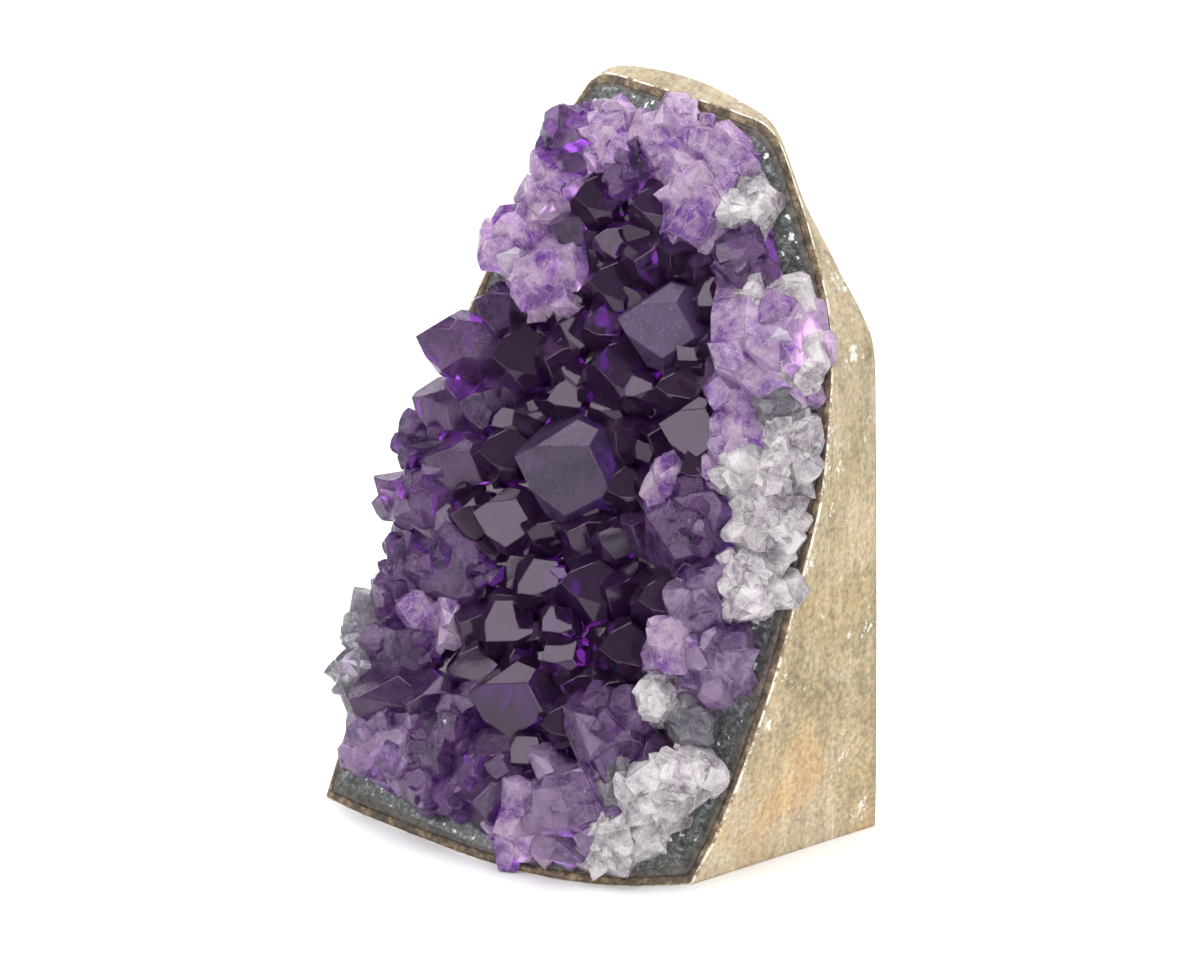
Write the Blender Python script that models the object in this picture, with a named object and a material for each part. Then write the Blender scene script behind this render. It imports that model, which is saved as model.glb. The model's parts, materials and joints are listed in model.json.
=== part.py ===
# Amethyst cluster on a sawn base: ground basalt rind, agate band and crystal crust.
import random
from math import atan, cos, exp, radians, sin

import bmesh
import bpy
from mathutils import Matrix, Vector

MM = 0.001
TOP_NAME = "amethyst_cluster"

# The crystal face leans back from the vertical by this slope, from this line on the base
LEAN_SLOPE = 0.30
FACE_START_Y = -18.0 * MM
BACK_Y = 30.0 * MM
FACE_CENTRE_X = 2.0 * MM
FACE_CENTRE_Z = 70.0 * MM

# Joints between the three stones
GAP = 0.35 * MM
RIND_RIM_WIDTH = 1.8 * MM
RECESS_SHARE = 0.42
RECESS_MAX = 9.0 * MM
BAND_SHARE = 0.5
CRUST_EDGE_RISE = 1.6 * MM
ROOT_RISE = 2.0 * MM
ROOT_SINK = 14.0 * MM
BASE_CLEARANCE = 0.4 * MM
SHOULDER_SHARE = 0.5
SHOULDER_DEPTH_SHARE = 0.75
OUTER_SHARE = 0.35
INNER_SHARE = 0.70
CRUST_EDGE_INSET = 0.6 * MM

# Cutters that trim the crust
CUTTER_OVERHANG = 25.0 * MM
CUTTER_DEPTH = 60.0 * MM
BASE_CUTTER_SIDE = 300.0 * MM

# Swell of the crystal face above the sawn base
SWELL = 12.0 * MM
SWELL_CENTRE = 4.0 * MM
SWELL_RIGHT = 46.0 * MM
SWELL_LEFT = 62.0 * MM
SWELL_HEIGHT = 34.0 * MM

# Quartz habit: rhombohedral faces stand 38.2 degrees off the long axis
RHOMB_TILT = radians(51.8)
MINOR_FACE_SHARE = 0.16
CRYSTAL_ROOT = 9.0 * MM
CENTRE_HEIGHT = 3.0 * MM
AXIS_JITTER = 0.20
SEED = 11

# Rim of the rind in mm: front x, y, z, then x and z on the back plane,
# then the width of the agate band there and the height of its inner edge
RIM = (
    (-53.5, -18.0, 0.0, -55.0, 0.0, 9.0, -0.4),
    (-43.0, -21.6, 0.0, -44.0, 0.0, 9.5, -0.4),
    (-31.0, -24.6, 0.0, -32.0, 0.0, 8.5, -0.4),
    (-18.0, -27.6, 0.0, -19.0, 0.0, 6.0, -0.4),
    (-6.0, -29.8, 0.0, -6.0, 0.0, 4.0, -0.4),
    (5.0, -30.6, 0.0, 6.0, 0.0, 3.5, -0.4),
    (15.0, -29.6, 0.0, 18.0, 0.0, 3.5, -0.4),
    (23.0, -27.4, 0.0, 30.0, 0.0, 4.0, -0.4),
    (30.0, -23.6, 0.0, 42.0, 0.0, 7.0, -0.4),
    (37.0, -18.0, 0.0, 53.5, 0.0, 10.0, -0.4),
    (39.8, -13.2, 9.0, 53.5, 10.0, 10.5, -0.4),
    (42.4, -9.2, 19.0, 53.3, 21.0, 11.0, -0.4),
    (46.2, -2.4, 38.0, 52.9, 42.0, 10.0, -0.4),
    (49.0, 3.0, 57.0, 52.4, 63.0, 7.0, -0.4),
    (50.8, 9.2, 76.5, 51.8, 84.0, 4.5, -0.4),
    (50.4, 13.2, 95.5, 51.0, 102.0, 4.0, -0.4),
    (47.6, 18.4, 106.5, 48.2, 109.5, 4.0, -0.2),
    (44.0, 22.4, 114.5, 44.0, 116.0, 5.0, 0.0),
    (39.5, 25.0, 124.0, 38.6, 124.5, 7.0, 0.6),
    (35.2, 26.8, 132.5, 34.0, 132.0, 8.0, 0.9),
    (28.0, 28.6, 145.0, 27.6, 145.5, 7.0, 1.0),
    (20.0, 27.2, 148.8, 20.0, 150.0, 5.0, 1.0),
    (10.0, 26.2, 150.9, 9.5, 153.4, 4.5, 0.9),
    (-1.0, 26.8, 152.4, -1.0, 154.8, 4.0, 0.9),
    (-12.5, 27.6, 153.2, -11.5, 154.2, 3.5, 0.8),
    (-18.0, 26.4, 147.0, -17.5, 148.6, 3.0, 0.5),
    (-21.5, 24.6, 140.0, -22.5, 141.5, 3.0, 0.3),
    (-26.0, 21.4, 130.0, -29.0, 131.0, 3.0, 0.0),
    (-31.0, 17.6, 118.0, -35.5, 119.0, 3.0, -0.2),
    (-36.5, 12.6, 102.0, -42.0, 103.5, 3.0, -0.4),
    (-40.5, 7.4, 85.0, -47.0, 87.0, 3.0, -0.4),
    (-43.5, 2.0, 68.0, -50.5, 69.5, 3.0, -0.4),
    (-46.3, -3.6, 49.0, -53.0, 51.0, 3.5, -0.4),
    (-49.0, -9.0, 31.0, -54.5, 32.0, 4.0, -0.4),
    (-51.2, -14.0, 13.5, -55.0, 15.0, 6.0, -0.4),
)

# Crystals in mm on the leaning face: across, up, width, rise of the tip, lean across, lean up
CRYSTALS = (
    (-9, 134, 12, 8, 0.1, 0.1), (5, 134, 12, 8, 0.0, 0.2), (-4, 126, 9, 6, -0.2, 0.1),
    (-3, 117, 12, 8, -0.2, 0.0), (6, 123, 12, 8, 0.1, -0.1), (13, 125, 10, 7, 0.3, 0.0),
    (10, 111, 18, 11, 0.1, 0.1), (22, 116, 11, 7, 0.3, 0.2), (19, 123, 10, 6, 0.2, 0.0),
    (-15, 127, 9, 6, -0.2, 0.0), (-26, 124, 15, 10, -0.6, 0.1), (-18, 116, 13, 10, -0.3, -0.2),
    (-12, 110, 9, 6, 0.0, 0.2), (-17, 146, 12, 8, -0.6, 0.2), (-19, 136, 10, 8, -0.6, 0.0),
    (-9, 147, 12, 7, -0.2, 0.3), (-1, 142, 10, 6, 0.0, 0.1), (5, 149, 14, 7, 0.1, 0.2),
    (14, 148, 11, 6, 0.2, 0.3), (21, 145, 10, 5, 0.3, 0.2), (17, 135, 16, 10, 0.2, -0.2),
    (27, 137, 10, 5, 0.4, 0.1), (28, 127, 12, 7, 0.3, 0.0), (33, 119, 9, 4, 0.4, 0.0),
    (12, 142, 10, 7, 0.0, 0.1), (-36, 100, 17, 13, -0.95, 0.0), (-22, 99, 15, 10, -0.1, 0.3),
    (-12, 100, 11, 7, 0.1, -0.1), (-9, 92, 10, 7, -0.1, 0.0), (-10, 107, 10, 6, -0.1, 0.2),
    (-3, 108, 11, 7, 0.0, 0.1), (2, 100, 15, 9, 0.0, 0.0), (1, 92, 9, 6, 0.1, 0.1),
    (-18, 88, 9, 5, -0.1, 0.0), (-26, 91, 9, 5, -0.1, 0.1), (-23, 79, 13, 8, -0.2, 0.1),
    (-6, 79, 24, 15, 0.1, 0.1), (-19, 66, 14, 9, -0.1, 0.2), (-28, 65, 12, 7, -0.2, 0.0),
    (-35, 61, 13, 8, -0.4, 0.0), (-34, 76, 14, 9, -0.4, -0.1), (-37, 87, 12, 10, -0.7, 0.1),
    (-30, 88, 11, 7, -0.2, 0.1), (-41, 78, 11, 9, -0.8, 0.0), (-42, 65, 12, 9, -0.8, 0.0),
    (-29, 109, 11, 7, -0.4, 0.2), (-22, 109, 9, 6, -0.1, 0.0), (8, 76, 10, 7, 0.2, 0.0),
    (14, 78, 9, 5, 0.1, 0.0), (7, 87, 11, 7, 0.2, 0.1), (8, 66, 9, 7, 0.0, 0.2),
    (0, 66, 13, 7, 0.0, 0.0), (-9, 65, 12, 7, 0.0, -0.1), (14, 69, 11, 6, 0.1, 0.1),
    (9, 96, 9, 8, 0.1, 0.1), (17, 98, 12, 8, 0.2, 0.0), (19, 105, 9, 7, 0.2, 0.2),
    (26, 101, 10, 6, 0.3, 0.0), (22, 91, 14, 10, 0.2, 0.1), (25, 83, 13, 8, 0.3, 0.0),
    (14, 88, 9, 5, 0.0, 0.0), (20, 78, 10, 7, 0.2, 0.1), (35, 92, 11, 6, 0.4, 0.1),
    (33, 86, 9, 5, 0.3, 0.0), (29, 72, 19, 11, 0.3, 0.0), (40, 83, 11, 5, 0.4, 0.0),
    (43, 92, 10, 5, 0.4, 0.1), (43, 74, 12, 5, 0.5, 0.0), (38, 100, 10, 5, 0.4, 0.0),
    (32, 109, 16, 10, 0.2, 0.1), (41, 108, 12, 6, 0.4, 0.0), (38, 116, 10, 5, 0.3, 0.1),
    (24, 109, 9, 6, 0.1, 0.1), (-32, 53, 17, 9, -0.2, 0.2), (-40, 55, 12, 8, -0.6, 0.1),
    (-32, 44, 15, 11, -0.1, 0.2), (-42, 46, 13, 9, -0.6, 0.0), (-46, 38, 12, 9, -0.8, 0.0),
    (-48, 28, 13, 8, -0.7, -0.1), (-39, 36, 14, 9, -0.4, 0.0), (-39, 24, 17, 11, -0.4, -0.1),
    (-28, 25, 14, 9, 0.0, 0.0), (-21, 43, 11, 7, 0.0, 0.1), (-13, 42, 14, 8, 0.0, 0.1),
    (-8, 53, 12, 8, -0.1, 0.1), (3, 55, 15, 9, 0.1, 0.2), (0, 46, 9, 9, 0.1, 0.1),
    (2, 40, 9, 8, 0.1, -0.1), (-20, 34, 11, 7, 0.0, 0.0), (-9, 30, 17, 10, 0.1, 0.2),
    (-21, 17, 16, 9, -0.1, -0.1), (-31, 14, 13, 7, -0.2, -0.2), (-16, 26, 9, 7, 0.0, 0.1),
    (-7, 18, 12, 8, 0.0, 0.1), (0, 19, 9, 7, 0.0, 0.0), (5, 27, 12, 7, 0.0, 0.1),
    (12, 24, 10, 5, 0.1, 0.0), (18, 27, 15, 9, 0.1, 0.1), (15, 44, 13, 9, 0.1, 0.0),
    (21, 55, 14, 9, 0.2, 0.1), (11, 56, 12, 6, 0.0, 0.0), (5, 35, 12, 5, 0.0, 0.0),
    (13, 35, 11, 5, 0.0, 0.0), (32, 57, 13, 7, 0.3, 0.1), (29, 46, 13, 8, 0.2, 0.0),
    (37, 44, 12, 6, 0.4, 0.0), (27, 64, 12, 7, 0.2, 0.0), (37, 63, 11, 5, 0.4, 0.0),
    (26, 36, 9, 7, 0.1, 0.2), (34, 33, 10, 4, 0.3, 0.0), (36, 23, 11, 5, 0.4, 0.1),
    (29, 15, 12, 6, 0.3, 0.0), (23, 6, 10, 4, 0.1, 0.0), (13, 12, 18, 10, 0.1, 0.0),
    (22, 16, 12, 6, 0.1, 0.0), (-5, 9, 16, 9, 0.0, 0.0), (3, 5, 12, 5, 0.0, -0.1),
    (-13, 10, 11, 6, -0.1, 0.0), (27, 25, 9, 5, 0.2, 0.0), (44, 62, 10, 4, 0.4, 0.0),
)

LEAN = atan(LEAN_SLOPE)
FACE_X = Vector((1.0, 0.0, 0.0))
FACE_UP = Vector((0.0, sin(LEAN), cos(LEAN)))
FACE_OUT = Vector((0.0, -cos(LEAN), sin(LEAN)))
FACE_CENTRE = Vector((FACE_CENTRE_X, FACE_START_Y + LEAN_SLOPE * FACE_CENTRE_Z, FACE_CENTRE_Z))


def clear_scene():
    for obj in list(bpy.data.objects):
        bpy.data.objects.remove(obj, do_unlink=True)
    for col in list(bpy.data.collections):
        bpy.data.collections.remove(col)


def make_collection(name):
    col = bpy.data.collections.new(name)
    bpy.context.scene.collection.children.link(col)
    return col


def make_material(name, colour, roughness):
    mat = bpy.data.materials.new(name)
    mat.use_nodes = True
    shader = mat.node_tree.nodes["Principled BSDF"]
    shader.inputs["Base Color"].default_value = (*colour, 1.0)
    shader.inputs["Roughness"].default_value = roughness
    shader.inputs["Metallic"].default_value = 0.0
    mat.diffuse_color = (*colour, 1.0)
    return mat


def make_object(name, bm, col, mat=None):
    bmesh.ops.recalc_face_normals(bm, faces=bm.faces[:])
    mesh = bpy.data.meshes.new(name)
    bm.to_mesh(mesh)
    bm.free()
    obj = bpy.data.objects.new(name, mesh)
    col.objects.link(obj)
    if mat:
        mesh.materials.append(mat)
    return obj


def hide_cutter(obj):
    obj.hide_render = True
    obj.display_type = "WIRE"


def add_boolean(obj, other, operation):
    mod = obj.modifiers.new(operation.lower(), "BOOLEAN")
    mod.operation = operation
    mod.solver = "EXACT"
    mod.object = other
    return mod


def rim_points():
    return [Vector(row[:3]) * MM for row in RIM]


def back_points():
    return [Vector((row[3] * MM, BACK_Y, row[4] * MM)) for row in RIM]


def inset_ring(inset, height):
    """Rim moved towards the centre by a distance for each point, then lifted off the face."""
    ring = []
    for i, p in enumerate(rim_points()):
        to_centre = (FACE_CENTRE - p).normalized()
        ring.append(p + to_centre * inset(i) + FACE_OUT * height(i))
    return ring


def share_ring(share, height):
    """Rim moved towards the centre by a share of the way, then lifted by a height of its depth."""
    ring = []
    for p in rim_points():
        q = p.lerp(FACE_CENTRE, share)
        ring.append(q + FACE_OUT * height(q))
    return ring


def recess(q):
    return min(RECESS_MAX, RECESS_SHARE * (BACK_Y - q.y))


def recess_floor(q):
    return -recess(q)


def band_floor(q):
    return recess_floor(q) + GAP


def band_top(q):
    return recess_floor(q) + GAP + BAND_SHARE * recess(q)


def crust_floor(q):
    return band_top(q) + GAP


def band_width(i):
    return RIM[i][5] * MM


def band_edge_height(i):
    return RIM[i][6] * MM


def crust_inset(i):
    return RIND_RIM_WIDTH + band_width(i) + CRUST_EDGE_INSET


def shoulder_inset(i):
    return RIND_RIM_WIDTH + SHOULDER_SHARE * band_width(i)


def shoulder_height(i):
    p = rim_points()[i]
    q = p + (FACE_CENTRE - p).normalized() * shoulder_inset(i)
    return -SHOULDER_DEPTH_SHARE * recess(q)


def loft(rings, first_centre=None, last_centre=None):
    """Closed skin through rings of equal count; an end closes flat or to a centre point.

    The diagonal always runs from point i of the outer ring to point i + 1 of the inner one,
    so two skins with the same rings stay parallel."""
    bm = bmesh.new()
    loops = [[bm.verts.new(p) for p in ring] for ring in rings]
    count = len(rings[0])
    for low, high in zip(loops[:-1], loops[1:]):
        inward = (low[0].co - FACE_CENTRE).length > (high[0].co - FACE_CENTRE).length
        for i in range(count):
            j = (i + 1) % count
            if inward:
                bm.faces.new((low[i], low[j], high[j]))
                bm.faces.new((low[i], high[j], high[i]))
            else:
                bm.faces.new((low[i], low[j], high[i]))
                bm.faces.new((low[j], high[j], high[i]))
    for loop, centre in ((loops[0], first_centre), (loops[-1], last_centre)):
        if centre is None:
            bm.faces.new(loop)
            continue
        hub = bm.verts.new(centre)
        for i in range(count):
            bm.faces.new((loop[i], loop[(i + 1) % count], hub))
    return bm


def make_rind(col):
    rings = [
        back_points(),
        rim_points(),
        inset_ring(lambda i: RIND_RIM_WIDTH, lambda i: 0.0),
        inset_ring(shoulder_inset, shoulder_height),
        share_ring(OUTER_SHARE, recess_floor),
        share_ring(INNER_SHARE, recess_floor),
    ]
    bm = loft(rings, None, FACE_CENTRE + FACE_OUT * recess_floor(FACE_CENTRE))
    return make_object("basalt_rind", bm, col, make_material("ground basalt", (0.60, 0.47, 0.29), 0.75))


def make_band(col):
    rings = [
        share_ring(INNER_SHARE, band_floor),
        share_ring(OUTER_SHARE, band_floor),
        inset_ring(lambda i: shoulder_inset(i) + GAP, lambda i: shoulder_height(i) + GAP),
        inset_ring(lambda i: RIND_RIM_WIDTH + GAP, lambda i: 0.0),
        inset_ring(lambda i: RIND_RIM_WIDTH + band_width(i), band_edge_height),
        share_ring(OUTER_SHARE, band_top),
        share_ring(INNER_SHARE, band_top),
    ]
    bm = loft(
        rings,
        FACE_CENTRE + FACE_OUT * band_floor(FACE_CENTRE),
        FACE_CENTRE + FACE_OUT * band_top(FACE_CENTRE),
    )
    return make_object("agate_band", bm, col, make_material("agate", (0.13, 0.15, 0.14), 0.35))


def swell(u, v):
    reach = SWELL_RIGHT if u > SWELL_CENTRE else SWELL_LEFT
    side = max(0.0, 1.0 - ((u - SWELL_CENTRE) / reach) ** 2)
    return SWELL * side * exp(-(max(v, 0.0) / SWELL_HEIGHT) ** 2)


def face_point(u, v, height):
    on_base = Vector((0.0, FACE_START_Y, 0.0))
    return on_base + FACE_X * u + FACE_UP * v + FACE_OUT * (swell(u, v) + height)


def cut_flat(bm, point, normal):
    """Cut away what lies beyond a plane and close the cut."""
    geom = bm.verts[:] + bm.edges[:] + bm.faces[:]
    bmesh.ops.bisect_plane(
        bm, geom=geom, dist=1e-7, plane_co=point, plane_no=normal, clear_outer=True
    )
    open_edges = [e for e in bm.edges if e.is_boundary]
    if open_edges:
        bmesh.ops.holes_fill(bm, edges=open_edges, sides=0)


def add_crystal(bm, width, tip, root, matrix):
    """Six-sided quartz point with three large and three small end faces."""
    part = bmesh.new()
    corner = 0.5 * width / cos(radians(30.0))
    reach = tip + width
    bmesh.ops.create_cone(
        part, cap_ends=True, segments=6, radius1=corner, radius2=corner, depth=reach + root,
        matrix=Matrix.Translation((0.0, 0.0, 0.5 * (reach - root))),
    )
    for side in range(6):
        turn = radians(60.0 * side + 30.0)
        flat = sin(RHOMB_TILT)
        normal = Vector((cos(turn) * flat, sin(turn) * flat, cos(RHOMB_TILT)))
        raised = MINOR_FACE_SHARE * width if side % 2 else 0.0
        cut_flat(part, Vector((0.0, 0.0, tip + raised)), normal)
    bmesh.ops.transform(part, matrix=matrix, verts=part.verts[:])
    mesh = bpy.data.meshes.new("crystal")
    part.to_mesh(mesh)
    part.free()
    bm.from_mesh(mesh)
    bpy.data.meshes.remove(mesh)


def crystal_matrix(place, axis, twist):
    turn = Vector((0.0, 0.0, 1.0)).rotation_difference(axis.normalized())
    spin = Matrix.Rotation(twist, 4, "Z")
    return Matrix.Translation(place) @ turn.to_matrix().to_4x4() @ spin


def make_crystals(col):
    rng = random.Random(SEED)
    bm = bmesh.new()
    for u, v, width, rise, lean_u, lean_v in CRYSTALS:
        lean_u += rng.uniform(-AXIS_JITTER, AXIS_JITTER)
        lean_v += rng.uniform(-AXIS_JITTER, AXIS_JITTER)
        axis = FACE_OUT + FACE_X * lean_u + FACE_UP * lean_v
        place = face_point(u * MM, v * MM, CENTRE_HEIGHT)
        twist = radians(rng.uniform(0.0, 120.0))
        matrix = crystal_matrix(place, axis, twist)
        add_crystal(bm, width * MM, rise * MM - CENTRE_HEIGHT, CRYSTAL_ROOT, matrix)
    obj = make_object("crystal_points", bm, col)
    hide_cutter(obj)
    return obj


def make_floor_cutter(col):
    """Block behind the crust: its front is the bed that the crust lies on."""
    rings = [
        inset_ring(lambda i: -CUTTER_OVERHANG, lambda i: -CUTTER_DEPTH),
        inset_ring(lambda i: -CUTTER_OVERHANG, lambda i: GAP),
        inset_ring(lambda i: RIND_RIM_WIDTH, lambda i: GAP),
        inset_ring(lambda i: RIND_RIM_WIDTH + band_width(i), lambda i: band_edge_height(i) + GAP),
        share_ring(OUTER_SHARE, crust_floor),
        share_ring(INNER_SHARE, crust_floor),
    ]
    bm = loft(
        rings,
        FACE_CENTRE - FACE_OUT * CUTTER_DEPTH,
        FACE_CENTRE + FACE_OUT * crust_floor(FACE_CENTRE),
    )
    obj = make_object("bed_cutter", bm, col)
    hide_cutter(obj)
    return obj


def make_base_cutter(col):
    bm = bmesh.new()
    bmesh.ops.create_cube(bm, size=BASE_CUTTER_SIDE)
    bmesh.ops.translate(bm, vec=(0.0, 0.0, BASE_CLEARANCE - 0.5 * BASE_CUTTER_SIDE), verts=bm.verts[:])
    obj = make_object("base_cutter", bm, col)
    hide_cutter(obj)
    return obj


def make_crust(col, cutters):
    rings = [
        inset_ring(crust_inset, lambda i: -ROOT_SINK),
        inset_ring(crust_inset, lambda i: CRUST_EDGE_RISE),
        share_ring(OUTER_SHARE, lambda q: ROOT_RISE),
        share_ring(INNER_SHARE, lambda q: ROOT_RISE * 0.5),
    ]
    bm = loft(rings, FACE_CENTRE - FACE_OUT * ROOT_SINK, FACE_CENTRE)
    crust = make_object("amethyst_crust", bm, col, make_material("amethyst", (0.22, 0.09, 0.36), 0.15))
    union = add_boolean(crust, make_crystals(cutters), "UNION")
    union.use_self = True
    add_boolean(crust, make_floor_cutter(cutters), "DIFFERENCE")
    add_boolean(crust, make_base_cutter(cutters), "DIFFERENCE")
    return crust


def main():
    clear_scene()
    col = make_collection(TOP_NAME)
    cutters = make_collection("cutters")
    make_rind(col)
    make_band(col)
    make_crust(col, cutters)


main()
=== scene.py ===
import json
import random
from math import atan, cos, exp, pi, radians, sin

import bmesh
import bpy
from mathutils import Matrix, Vector, noise

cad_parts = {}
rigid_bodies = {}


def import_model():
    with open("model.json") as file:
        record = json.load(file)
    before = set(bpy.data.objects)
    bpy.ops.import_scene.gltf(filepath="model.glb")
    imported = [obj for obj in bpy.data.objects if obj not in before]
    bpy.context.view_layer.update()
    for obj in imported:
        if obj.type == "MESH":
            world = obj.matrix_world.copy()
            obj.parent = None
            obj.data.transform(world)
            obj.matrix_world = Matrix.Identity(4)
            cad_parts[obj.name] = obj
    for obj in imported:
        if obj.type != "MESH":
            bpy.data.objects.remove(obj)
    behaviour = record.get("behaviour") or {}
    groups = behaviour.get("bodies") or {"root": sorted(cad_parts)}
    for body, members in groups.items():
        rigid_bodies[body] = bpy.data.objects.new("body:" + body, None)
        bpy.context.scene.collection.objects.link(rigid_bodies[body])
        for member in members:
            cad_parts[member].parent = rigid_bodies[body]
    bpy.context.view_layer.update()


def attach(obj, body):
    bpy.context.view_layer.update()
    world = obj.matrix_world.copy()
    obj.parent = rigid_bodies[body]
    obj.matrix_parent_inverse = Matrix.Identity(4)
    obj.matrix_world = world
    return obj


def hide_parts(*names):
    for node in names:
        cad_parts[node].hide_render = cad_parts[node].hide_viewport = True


MM = 0.001

# Stance and joints of the three stones, as in the part's source
LEAN_SLOPE = 0.30
FACE_START_Y = -18.0 * MM
BACK_Y = 30.0 * MM
FACE_CENTRE_X = 2.0 * MM
FACE_CENTRE_Z = 70.0 * MM
GAP = 0.35 * MM
RIND_RIM_WIDTH = 1.8 * MM
RECESS_SHARE = 0.42
RECESS_MAX = 9.0 * MM
BAND_SHARE = 0.5
SHOULDER_SHARE = 0.5
SHOULDER_DEPTH_SHARE = 0.75
OUTER_SHARE = 0.35
INNER_SHARE = 0.70
CRUST_EDGE_INSET = 0.6 * MM
BASE_CLEARANCE = 0.4 * MM
SWELL = 12.0 * MM
SWELL_CENTRE = 4.0 * MM
SWELL_RIGHT = 46.0 * MM
SWELL_LEFT = 62.0 * MM
SWELL_HEIGHT = 34.0 * MM

# Crystals: tilt of the end faces, the step between them and its play as shares of
# the width, roots below the face, heights of the centres, and wear of the edges
RHOMB_TILT = radians(51.8)
TIP_STEP = 0.16
TIP_PLAY = 0.05
CRYSTAL_ROOT = 9.0 * MM
SMALL_ROOT = 4.0 * MM
CENTRE_HEIGHT = 3.0 * MM
SMALL_RISE = 1.2 * MM
LARGE_WEAR = 0.12 * MM
MIDDLE_WEAR = 0.08 * MM
SMALL_WEAR = 0.05 * MM
SEED = 11

# Quartz skin between the crystals: its height, the two heights of its edge, how
# far it reaches into the bed, and the shares of the way to the centre of its rings
SKIN_RISE = -1.0 * MM
SKIN_EDGE = (-3.0 * MM, 0.8 * MM)
SKIN_SINK = 1.0 * MM
SKIN_CORE_SHARE = 0.85
SKIN_SHARES = (0.12, 0.24, 0.36, 0.5, 0.66, 0.84)

# Samples along each stretch of the rim
STEPS_PER_STRETCH = 8
LAST_BASE_POINT = 9

# Rim of the rind in mm: front x, y, z, then x and z on the back plane,
# then the width of the agate band there and the height of its inner edge
RIM = (
    (-53.5, -18.0, 0.0, -55.0, 0.0, 9.0, -0.4),
    (-43.0, -21.6, 0.0, -44.0, 0.0, 9.5, -0.4),
    (-31.0, -24.6, 0.0, -32.0, 0.0, 8.5, -0.4),
    (-18.0, -27.6, 0.0, -19.0, 0.0, 6.0, -0.4),
    (-6.0, -29.8, 0.0, -6.0, 0.0, 4.0, -0.4),
    (5.0, -30.6, 0.0, 6.0, 0.0, 3.5, -0.4),
    (15.0, -29.6, 0.0, 18.0, 0.0, 3.5, -0.4),
    (23.0, -27.4, 0.0, 30.0, 0.0, 4.0, -0.4),
    (30.0, -23.6, 0.0, 42.0, 0.0, 7.0, -0.4),
    (37.0, -18.0, 0.0, 53.5, 0.0, 10.0, -0.4),
    (39.8, -13.2, 9.0, 53.5, 10.0, 10.5, -0.4),
    (42.4, -9.2, 19.0, 53.3, 21.0, 11.0, -0.4),
    (46.2, -2.4, 38.0, 52.9, 42.0, 10.0, -0.4),
    (49.0, 3.0, 57.0, 52.4, 63.0, 7.0, -0.4),
    (50.8, 9.2, 76.5, 51.8, 84.0, 4.5, -0.4),
    (50.4, 13.2, 95.5, 51.0, 102.0, 4.0, -0.4),
    (47.6, 18.4, 106.5, 48.2, 109.5, 4.0, -0.2),
    (44.0, 22.4, 114.5, 44.0, 116.0, 5.0, 0.0),
    (39.5, 25.0, 124.0, 38.6, 124.5, 7.0, 0.6),
    (35.2, 26.8, 132.5, 34.0, 132.0, 8.0, 0.9),
    (28.0, 28.6, 145.0, 27.6, 145.5, 7.0, 1.0),
    (20.0, 27.2, 148.8, 20.0, 150.0, 5.0, 1.0),
    (10.0, 26.2, 150.9, 9.5, 153.4, 4.5, 0.9),
    (-1.0, 26.8, 152.4, -1.0, 154.8, 4.0, 0.9),
    (-12.5, 27.6, 153.2, -11.5, 154.2, 3.5, 0.8),
    (-18.0, 26.4, 147.0, -17.5, 148.6, 3.0, 0.5),
    (-21.5, 24.6, 140.0, -22.5, 141.5, 3.0, 0.3),
    (-26.0, 21.4, 130.0, -29.0, 131.0, 3.0, 0.0),
    (-31.0, 17.6, 118.0, -35.5, 119.0, 3.0, -0.2),
    (-36.5, 12.6, 102.0, -42.0, 103.5, 3.0, -0.4),
    (-40.5, 7.4, 85.0, -47.0, 87.0, 3.0, -0.4),
    (-43.5, 2.0, 68.0, -50.5, 69.5, 3.0, -0.4),
    (-46.3, -3.6, 49.0, -53.0, 51.0, 3.5, -0.4),
    (-49.0, -9.0, 31.0, -54.5, 32.0, 4.0, -0.4),
    (-51.2, -14.0, 13.5, -55.0, 15.0, 6.0, -0.4),
)

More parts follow.
